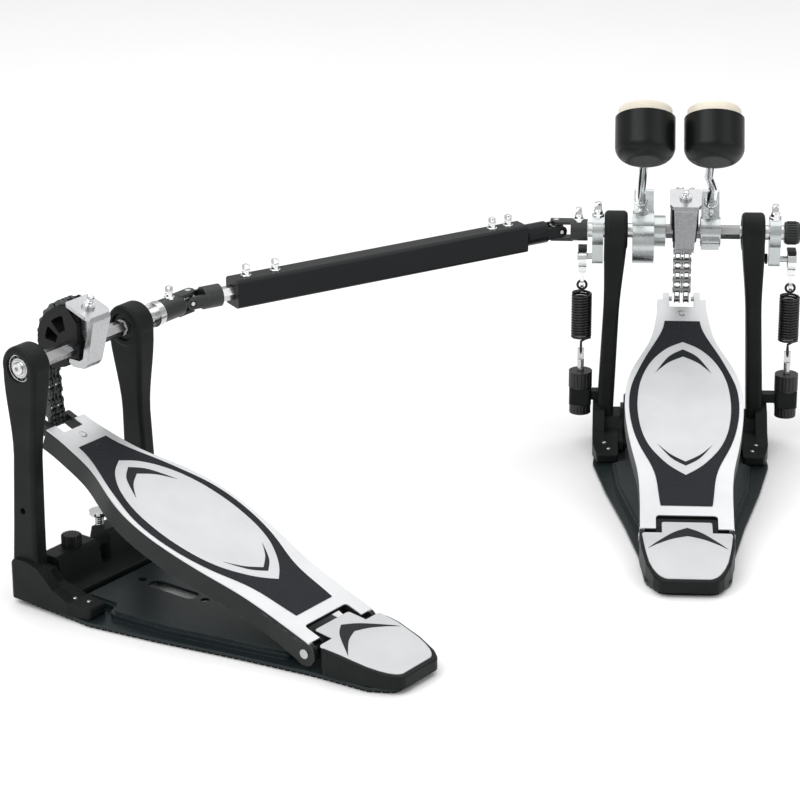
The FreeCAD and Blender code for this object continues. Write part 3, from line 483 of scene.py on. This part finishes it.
def sweep(bm, path, radius, place=MAIN, sides=10):
    """Round wire along a list of points, with closed ends."""
    points = [Vector(p) for p in path]
    rings = []
    up = Vector((0, 0, 1))
    for i, point in enumerate(points):
        ahead = (points[min(i + 1, len(points) - 1)] - points[max(i - 1, 0)]).normalized()
        if abs(ahead.dot(up)) > 0.95:
            up = Vector((0, 1, 0))
        side = ahead.cross(up).normalized()
        up = side.cross(ahead).normalized()
        rings.append([bm.verts.new(place @ (point + side * x + up * y)) for x, y in circle(radius, sides)])
    for low, high in zip(rings, rings[1:]):
        skin(bm, low, high)
    bm.faces.new(list(reversed(rings[0])))
    bm.faces.new(rings[-1])


def smooth_line(points, steps=6):
    """Catmull-Rom curve through (x, y) points."""
    pts = [Vector((x, y, 0)) for x, y in points]
    line = []
    for i in range(len(pts) - 1):
        a = pts[max(i - 1, 0)]
        b, c = pts[i], pts[i + 1]
        d = pts[min(i + 2, len(pts) - 1)]
        for k in range(steps):
            t = k / steps
            line.append(0.5 * ((2 * b) + (c - a) * t + (2 * a - 5 * b + 4 * c - d) * t ** 2
                               + (3 * b - a - 3 * c + d) * t ** 3))
    line.append(pts[-1])
    return line


def coil_path(radius, low, high, turns, steps=18):
    """Helix round Z, as a list of points."""
    count = int(turns * steps)
    path = []
    for k in range(count + 1):
        angle = 2 * math.pi * k / steps
        path.append((radius * math.cos(angle), radius * math.sin(angle), low + (high - low) * k / count))
    return path


def piece(name, bm, body, material, place=MAIN, smooth=38.0):
    """Turns the mesh code's result into an object that rides on a CAD body."""
    bmesh.ops.transform(bm, matrix=Matrix.Scale(MM, 4) @ place, verts=bm.verts)
    bmesh.ops.recalc_face_normals(bm, faces=bm.faces)
    mesh = bpy.data.meshes.new(name)
    bm.to_mesh(mesh)
    bm.free()
    mesh.materials.append(material)
    mesh.shade_smooth()
    mesh.set_sharp_from_angle(angle=math.radians(smooth))
    obj = bpy.data.objects.new(name, mesh)
    bpy.context.scene.collection.objects.link(obj)
    if body:
        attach(obj, body)
    return obj


def at(x, y, z, towards=(0, 0, 1)):
    """Place with its own Z pointing towards a direction."""
    turn = Vector((0, 0, 1)).rotation_difference(Vector(towards)).to_matrix().to_4x4()
    return Matrix.Translation((x, y, z)) @ turn


# ------------------------------------------------------------------ fasteners
def key_screw(bm, place, size=1.0, collar=True):
    """Square-headed drum key screw standing on a round collar."""
    grow = place @ Matrix.Scale(size, 4)
    if collar:
        lathe(bm, [(0, -1.0), (4.6, -1.0), (4.6, 0.9), (4.2, 1.3), (0, 1.3)], grow, 28)
    lathe(bm, [(0, 1.0), (3.5, 1.0), (3.5, 3.6), (3.0, 4.2), (0, 4.2)], grow, 28)
    slab(bm, square(2.55, 0.5), 3.8, 9.8, grow, 0.5)
    lathe(bm, [(0, 9.6), (1.5, 9.6), (1.2, 10.6), (0, 10.9)], grow, 20)


def cap_screw(bm, place, radius, height):
    """Low domed screw with a round recess."""
    lathe(bm, [(0, -0.5), (radius, -0.5), (radius, height * 0.5), (radius * 0.8, height * 0.85),
               (radius * 0.45, height), (radius * 0.40, height * 0.35), (0, height * 0.30)], place, 28)


# ------------------------------------------------- footboard and heel
# The emblem's right half from its lower tip to its upper one, in the board's frame.
EMBLEM_HALF = [(0, 58.8), (9.5, 66.5), (17.5, 75.5), (27, 90.5), (33, 108), (35.9, 128), (36.2, 146),
               (34.2, 165), (29.5, 182), (22.3, 196.5), (12.2, 208.5), (0, 216.3)]
EMBLEM_LOW = 0.45         # under and upper faces, above the board's top
EMBLEM_HIGH = 0.85
EMBLEM_CHEVRON_HIGH = 1.0

# Right halves of the dark chevrons: outer edge and inner edge, from the middle to the tip.
UPPER_CHEVRON = [(0, 207.0), (11.5, 197.6), (22.1, 178.0)], [(0, 198.2), (12, 190.2), (22.1, 178.0)]
LOWER_CHEVRON = [(0, 69.0), (11, 77.8), (21.1, 93.4)], [(0, 73.6), (11.5, 82.0), (21.1, 93.4)]
HEEL_CHEVRON = [(0, -237.5), (12, -246.0), (29.5, -267)], [(0, -249.5), (13, -254.8), (29.5, -267)]
CHEVRON_DEPTH = 0.4

# Rows of the silver heel plate: place along Y and half width.
HEEL_ROWS = [(-303.4, 15.5), (-302.6, 17.8), (-300.6, 20.6), (-297.0, 23.4), (-291.0, 26.4),
             (-283.0, 29.0), (-272.0, 31.0), (-262.0, 32.4), (-252.0, 33.3), (-247.0, 33.7),
             (-245.6, 33.1), (-245.0, 31.8), (-244.9, 19.0), (-231.0, 19.0), (-229.9, 18.5),
             (-229.3, 17.4)]
HEEL_PLATE_LIFT = 0.5     # the plate's face and its sunk rim, over and under the heel's top
HEEL_PLATE_RIM = 0.3
HEEL_CHEVRON_LIFT = 0.62
TOE_SCREW_Y = 253.4       # along the board
GRIP_SCREW_Y = 235.6


def emblem(pedal, place, body):
    """Pointed oval plate on the grip with dark chevrons inside its tips."""
    right = [(p.x, p.y) for p in smooth_line(EMBLEM_HALF, 5)]
    outline = right[:-1] + [(-x, y) for x, y in reversed(right)][:-1]
    bm = bmesh.new()
    slab(bm, outline, EMBLEM_LOW, EMBLEM_HIGH, BOARD, 0.15)
    piece(pedal + "_emblem", bm, body, MATERIALS["emblem"], place)
    bm = bmesh.new()
    for outer, inner in (UPPER_CHEVRON, LOWER_CHEVRON):
        chevron(bm, outer, inner, lambda y: EMBLEM_CHEVRON_HIGH, BOARD)
    piece(pedal + "_emblem_chevrons", bm, body, MATERIALS["inlay"], place)


def chevron(bm, outer, inner, height, place):
    """Thin V-shaped inlay, symmetric about x = 0; height gives its top at a y."""
    half = list(zip(smooth_line(outer, 8), smooth_line(inner, 8)))
    rows = [((-a.x, a.y), (-b.x, b.y)) for a, b in reversed(half)]
    rows += [((a.x, a.y), (b.x, b.y)) for a, b in half[1:]]
    tops, lows = [], []
    for pair in rows:
        tops.append([bm.verts.new(place @ Vector((x, y, height(y)))) for x, y in pair])
        lows.append([bm.verts.new(place @ Vector((x, y, height(y) - CHEVRON_DEPTH))) for x, y in pair])
    for k in range(len(rows) - 1):
        bm.faces.new((tops[k][0], tops[k + 1][0], tops[k + 1][1], tops[k][1]))
        bm.faces.new((lows[k][0], lows[k][1], lows[k + 1][1], lows[k + 1][0]))
        for side in (0, 1):
            bm.faces.new((tops[k][side], lows[k][side], lows[k + 1][side], tops[k + 1][side]))
    bmesh.ops.remove_doubles(bm, verts=bm.verts, dist=0.001)


def heel_height(y):
    """Top of the heel and of the tongue in front of it."""
    slope = HEEL_REAR_SLOPE if y < HEEL_BEND[0] else HEEL_FRONT_SLOPE
    return HEEL_BEND[1] + slope * (y - HEEL_BEND[0])


def heel_plate(pedal, place, body):
    """Thin silver sheet that follows the heel's two slopes, with a dark chevron on it."""
    bm = bmesh.new()
    rows = []
    for y, half in HEEL_ROWS:
        flat = half - HEEL_PLATE_RIM
        low = heel_height(y) - HEEL_PLATE_RIM
        high = heel_height(y) + HEEL_PLATE_LIFT
        corners = (-half, low), (-flat, high), (flat, high), (half, low)
        rows.append([bm.verts.new((x, y, z)) for x, z in corners])
    for back, front in zip(rows, rows[1:]):
        skin(bm, back, front)
    bm.faces.new(rows[0])
    bm.faces.new(list(reversed(rows[-1])))
    piece(pedal + "_heel_plate", bm, body, MATERIALS["emblem"], place)
    bm = bmesh.new()
    chevron(bm, *HEEL_CHEVRON, lambda y: heel_height(y) + HEEL_CHEVRON_LIFT, MAIN)
    piece(pedal + "_heel_chevron", bm, body, MATERIALS["inlay"], place)


def toe_screws(pedal, place, body):
    """Sunk screw in the silver toe and a black one in the grip's upper end."""
    bm = bmesh.new()
    lathe(bm, [(0, -0.6), (3.6, -0.6), (3.6, 0.12), (3.2, 0.2), (2.2, 0.2), (1.7, -0.3), (0, -0.3)],
          BOARD @ at(0, TOE_SCREW_Y, 0), 28)
    piece(pedal + "_toe_screw", bm, body, MATERIALS["pin"], place)
    bm = bmesh.new()
    lathe(bm, [(0, 0.3), (3.3, 0.3), (3.3, 0.75), (2.9, 0.95), (2.3, 0.95), (1.9, 0.5), (0, 0.5)],
          BOARD @ at(0, GRIP_SCREW_Y, 0), 28)
    piece(pedal + "_grip_screw", bm, body, MATERIALS["knob"], place)


# ------------------------------------------------- posts, block and cam
RACES = [(9.25, 10.35, 0.5, 0.2), (6.1, 7.45, 0.3, 0.15)]   # radii, height and soft edge
BALL_COUNT = 11
BALL_ORBIT = 8.35
LOBE_SCREWS = [(57.5, -53.5, 13.0), (61.0, -43.5, 14.2)]
BRACKET_SCREW = (0, -10.7, 212.8)
BRACKET_UP = (0, -0.336, 0.942)


def bearing_details(pedal, place, body):
    """Races and balls on the outer face of each bearing, a black dust shield on the inner one."""
    rings = bmesh.new()
    balls = bmesh.new()
    shields = bmesh.new()
    for side in (-1, 1):
        outer = at(side * (POST_X + BEARING_EDGE), 0, AXLE_Z, (side, 0, 0))
        for inside, outside, height, soft in RACES:
            lathe(rings, ring_profile(inside, outside, -0.2, height, soft), outer, 48)
        for x, y in circle(BALL_ORBIT, BALL_COUNT):
            ball = outer @ Matrix.Translation((x, y, -0.4))
            bmesh.ops.create_uvsphere(balls, u_segments=14, v_segments=8, radius=0.8, matrix=ball)
        inner = at(side * (POST_X - BEARING_EDGE), 0, AXLE_Z, (-side, 0, 0))
        lathe(shields, ring_profile(6.3, 10.3, 0.0, 0.7, 0.25), inner, 48)
    piece(pedal + "_bearing_races", rings, body, MATERIALS["pin"], place)
    piece(pedal + "_bearing_balls", balls, body, MATERIALS["race"], place)
    piece(pedal + "_dust_shields", shields, body, MATERIALS["knob"], place)


def lobe_screws(pedal, place, body):
    """Two small screws on each rear lobe of the front block."""
    bm = bmesh.new()
    for side in (-1, 1):
        for x, y, z in LOBE_SCREWS:
            cap_screw(bm, at(side * x, y, z), 1.7, 0.9)
    piece(pedal + "_lobe_screws", bm, body, MATERIALS["steel"], place)


def bracket_screw(pedal, place, body):
    bm = bmesh.new()
    key_screw(bm, at(*BRACKET_SCREW, BRACKET_UP), 0.8)
    piece(pedal + "_bracket_screw", bm, body, MATERIALS["chrome"], place)


# ------------------------------------------------- springs and rockers
WIRE = 1.05               # wire's radius
COIL_LOW = 88.5
COIL_HIGH = 126.5
COIL_RADIUS = 7.4
COIL_TURNS = 16.5
EYE_RADIUS = 3.1          # lower loop
RING_RADIUS = 3.6         # upper loop
CAP_HALF_X = 3.6
CAP_HALF_Y = 6.4
ROCKER_TOP = 12.3         # above the axle
PIN_RING_GAP = 5.2        # from the rocker's middle to the ring on its pin


def return_spring(side):
    """Close-wound black spring, stretched between its eye and its hanger."""
    x = SIDES[side]["spring"]
    path = [(0, 0, SPRING_EYE_Z + EYE_RADIUS + 0.1), (0, 0, COIL_LOW - 3.5), (3.5, 0, COIL_LOW - 1.2)]
    path += coil_path(COIL_RADIUS, COIL_LOW, COIL_HIGH, COIL_TURNS)
    path += [(-3.5, 0, COIL_HIGH + 1.2), (0, 0, COIL_HIGH + 2.2), (0, 0, SPRING_RING_Z - RING_RADIUS + 0.2)]
    bm = bmesh.new()
    sweep(bm, path, WIRE, at(x, 0, 0), 10)
    sweep(bm, coil_path(EYE_RADIUS, 0, 0, 1, 28), WIRE, at(x, 0, SPRING_EYE_Z, (1, 0, 0)), 8)
    sweep(bm, coil_path(RING_RADIUS, 0, 0, 1, 28), WIRE, at(x, 0, SPRING_RING_Z, (0, 1, 0)), 8)
    obj = piece(side + "_coil", bm, None, MATERIALS["spring"])
    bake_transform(obj)
    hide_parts(side + "_spring")


def hanger_cap(side):
    """Black block on top of the hanger, over the rocker's pin."""
    x = SIDES[side]["spring"]
    pin_z = AXLE_Z - PIN_DROP
    bm = bmesh.new()
    slab(bm, [(x - CAP_HALF_X, -CAP_HALF_Y), (x + CAP_HALF_X, -CAP_HALF_Y), (x + CAP_HALF_X, CAP_HALF_Y),
              (x - CAP_HALF_X, CAP_HALF_Y)], pin_z + 5.8, pin_z + 8.0, MAIN, 0.6)
    piece(side + "_hanger_cap", bm, side + "_hanger_body", MATERIALS["knob"])


def rocker_screws(side):
    """Key screw on top of the rocker and a black ring at the inner end of its pin."""
    rocker = SIDES[side]["rocker"]
    sign = SIDES[side]["sign"]
    body = SIDES[side]["axle"]
    bm = bmesh.new()
    key_screw(bm, at(rocker, 0, AXLE_Z + ROCKER_TOP), 1.1)
    piece(side + "_rocker_screw", bm, body, MATERIALS["chrome"])
    bm = bmesh.new()
    lathe(bm, ring_profile(2.6, 4.2, 0.0, 2.0, 0.3),
          at(rocker - sign * PIN_RING_GAP, 0, AXLE_Z - PIN_DROP, (-sign, 0, 0)), 24)
    piece(side + "_pin_ring", bm, body, MATERIALS["knob"])


# ------------------------------------------------- beaters
ROD_UP = (0.0, -math.sin(BEATER_LEAN), math.cos(BEATER_LEAN))


def on_rod(x, distance, forward):
    """Place beside the axle: distance along the beater's rod and forward from the axle's plane."""
    y = -distance * math.sin(BEATER_LEAN) + forward * math.cos(BEATER_LEAN)
    z = AXLE_Z + distance * math.cos(BEATER_LEAN) + forward * math.sin(BEATER_LEAN)
    return at(x, y, z, ROD_UP)


def beater_details(side):
    """Collars where the rod enters the holder and the head, and the holder's clamp screw."""
    hub, head, collar = (SIDES[side][key] for key in ("hub", "head", "collar"))
    body = SIDES[side]["axle"]
    bm = bmesh.new()
    lathe(bm, ring_profile(4.1, 5.6, -0.5, 1.6, 0.4), on_rod(hub, collar, ROD_SIDE), 32)
    lathe(bm, ring_profile(4.1, 6.4, -1.6, 0.8, 0.4), on_rod(head, HEAD_COLLAR, ROD_SIDE), 32)
    piece(side + "_rod_collars", bm, body, MATERIALS["chrome"])
    bm = bmesh.new()
    key_screw(bm, on_rod(hub, *HOLDER_SCREW), 0.62, False)
    piece(side + "_holder_screw", bm, body, MATERIALS["chrome"])


# ------------------------------------------------- drive shaft and axles
TUBE_SCREWS = [46.0, 61.0, 256.0, 281.0]     # along the shaft from the main joint
LEFT_YOKE_SCREW = -84.5                      # along the axles
SLAVE_YOKE_SCREW = 97.0
CAP_START = 81.2                             # ribbed cap at the main shaft's right end
CAP_RADIUS = 9.0
CAP_RIBS = 24
CROSS_HALF = 8.6                             # half length of a joint's upright pin


def drive_screws():
    """Key screws on the tube and on the two axle yokes."""
    bm = bmesh.new()
    for distance in TUBE_SCREWS:
        key_screw(bm, at(distance, 0, TUBE_TOP), 0.9)
    piece("tube_key_screws", bm, "tube", MATERIALS["chrome"], DRIVE)
    bm = bmesh.new()
    key_screw(bm, at(LEFT_YOKE_SCREW, 0, AXLE_Z + YOKE_TOP), 1.0)
    piece("left_yoke_screw", bm, "left_axle", MATERIALS["chrome"])
    bm = bmesh.new()
    key_screw(bm, at(SLAVE_YOKE_SCREW, 0, AXLE_Z + YOKE_TOP), 0.9)
    piece("slave_yoke_screw", bm, "slave_axle", MATERIALS["chrome"], SLAVE)


def right_cap_ribs():
    """Ribs round the black cap at the right end of the main shaft."""
    bm = bmesh.new()
    for y, z in circle(CAP_RADIUS, CAP_RIBS):
        lathe(bm, [(0, 0), (0.45, 0.3), (0.5, 7.6), (0, 8.0)], at(CAP_START, y, AXLE_Z + z, (1, 0, 0)), 8)
    piece("shaft_cap_ribs", bm, "main_axle", MATERIALS["knob"])


def cross_caps(pedal, body, place):
    """Bright ends of the upright pins of a universal joint."""
    bm = bmesh.new()
    for sign in (-1, 1):
        lathe(bm, [(0, -0.3), (2.2, -0.3), (2.2, 0.3), (1.6, 0.6), (0, 0.6)],
              at(0, 0, sign * CROSS_HALF, (0, 0, sign)), 24)
    piece(pedal + "_cross_caps", bm, body, MATERIALS["steel"], place)


# ------------------------------------------------- front blocks
KNOB_PLACE = (-20.5, -3, 30.6)               # on the second pedal's block
KNOB_RIBS = 16
KNOB_TIP = 7.6                               # radius on a rib and between two ribs
KNOB_VALLEY = 6.5
THUMB_SCREW = (15, 2)
CLAMP_SCREW = (35, 12)                       # on the main pedal's block


def block_details():
    """Ribbed nut and sprung thumb screw on the second pedal's block, and the clamp screw's spring."""
    bm = bmesh.new()
    outline = []
    for k in range(2 * KNOB_RIBS):
        radius = KNOB_TIP if k % 2 else KNOB_VALLEY
        angle = math.pi * k / KNOB_RIBS
        outline.append((radius * math.cos(angle), radius * math.sin(angle)))
    slab(bm, outline, 0.0, 9.0, at(*KNOB_PLACE), 0.8)
    piece("slave_block_knob", bm, "slave_base", MATERIALS["knob"], SLAVE)
    bm = bmesh.new()
    lathe(bm, [(0, 0), (1.8, 0), (1.8, 8.2), (3.0, 8.5), (7.6, 9.3), (8.2, 10.6), (7.6, 12.2),
               (3.0, 13.0), (0, 13.1)], at(*THUMB_SCREW, 32.6), 32)
    piece("slave_block_screw", bm, "slave_base", MATERIALS["chrome"], SLAVE)
    bm = bmesh.new()
    sweep(bm, coil_path(3.0, 0.4, 8.0, 4.5), 0.5, at(*THUMB_SCREW, 33.0), 8)
    piece("slave_block_spring", bm, "slave_base", MATERIALS["steel"], SLAVE)
    bm = bmesh.new()
    sweep(bm, coil_path(4.2, 37.5, 44.6, 4.5), 0.55, at(*CLAMP_SCREW, 0), 8)
    piece("clamp_screw_spring", bm, "clamp_screw", MATERIALS["steel"])


def build_pieces():
    for pedal, (place, base, board, axle) in PEDALS.items():
        emblem(pedal, place, board)
        heel_plate(pedal, place, base)
        toe_screws(pedal, place, board)
        bearing_details(pedal, place, base)
        lobe_screws(pedal, place, base)
        bracket_screw(pedal, place, axle)
    for side in SIDES:
        return_spring(side)
        hanger_cap(side)
        rocker_screws(side)
    for side in SIDES:
        beater_details(side)
    drive_screws()
    right_cap_ribs()
    block_details()
    cross_caps("main", "main_cross_body", DRIVE)
    cross_caps("slave", "slave_cross_body", DRIVE @ Matrix.Translation((DRIVE_SIZE, 0, 0)))


# ------------------------------------------------------------------ studio
FLOOR_HALF = 6000.0


def floor():
    bm = bmesh.new()
    bmesh.ops.create_grid(bm, x_segments=8, y_segments=8, size=FLOOR_HALF)
    obj = piece("floor", bm, None, floor_material(), Matrix.Translation((0, 0, -0.2)))


def floor_material():
    """Plain pale floor with a faint drift in tone."""
    material = bpy.data.materials.new("studio_floor")
    material.use_nodes = True
    tree = material.node_tree
    shader = tree.nodes["Principled BSDF"]
    broad = noise(tree, local_coords(tree), 3.0, 3.0)
    colour = blend_colour(tree, (broad, "Fac"), (0.90, 0.90, 0.90), (0.93, 0.93, 0.93))
    join(tree, *colour, shader, "Base Color")
    rough = remap(tree, broad, "Fac", 0.3, 0.7, 0.65, 0.75)
    join(tree, rough, "Result", shader, "Roughness")
    shader.inputs["Specular IOR Level"].default_value = 0.2
    return material


def softbox(name, spot, target, size, power):
    """Rectangular light; its places and sizes are in metres."""
    light = bpy.data.lights.new(name, "AREA")
    light.shape = "RECTANGLE"
    light.size, light.size_y = size
    light.energy = power
    obj = bpy.data.objects.new(name, light)
    obj.location = spot
    obj.rotation_euler = (Vector(target) - Vector(spot)).to_track_quat("-Z", "Y").to_euler()
    bpy.context.scene.collection.objects.link(obj)


def studio():
    world = bpy.data.worlds.new("studio")
    bpy.context.scene.world = world
    world.use_nodes = True
    background = world.node_tree.nodes["Background"]
    background.inputs["Color"].default_value = (1.0, 1.0, 1.0, 1.0)
    background.inputs["Strength"].default_value = 0.62
    softbox("key", (-1.3, -1.6, 1.9), (-0.2, -0.2, 0.1), (2.4, 1.8), 32.0)
    softbox("fill", (1.6, -1.2, 1.3), (-0.1, -0.2, 0.1), (1.8, 1.8), 10.0)
    softbox("top", (-0.2, 0.3, 2.0), (-0.2, -0.2, 0.1), (3.0, 2.4), 26.0)
    bpy.context.scene.view_settings.view_transform = "Standard"


def camera():
    """Long lens from the player's side, a little above both pedals."""
    elevation = math.radians(20.422)
    azimuth = math.radians(2.829)
    data = bpy.data.cameras.new("camera")
    data.sensor_width = 36.0
    data.lens = 136.53
    data.shift_x = -0.0448
    data.shift_y = -0.0495
    data.clip_end = 50.0
    obj = bpy.data.objects.new("camera", data)
    obj.location = (-0.08451, -2.31517, 0.92934)
    obj.rotation_euler = (math.pi / 2 - elevation, 0.0, azimuth)
    bpy.context.scene.collection.objects.link(obj)
    bpy.context.scene.camera = obj


dress_nodes()
build_pieces()
floor()
studio()
camera()
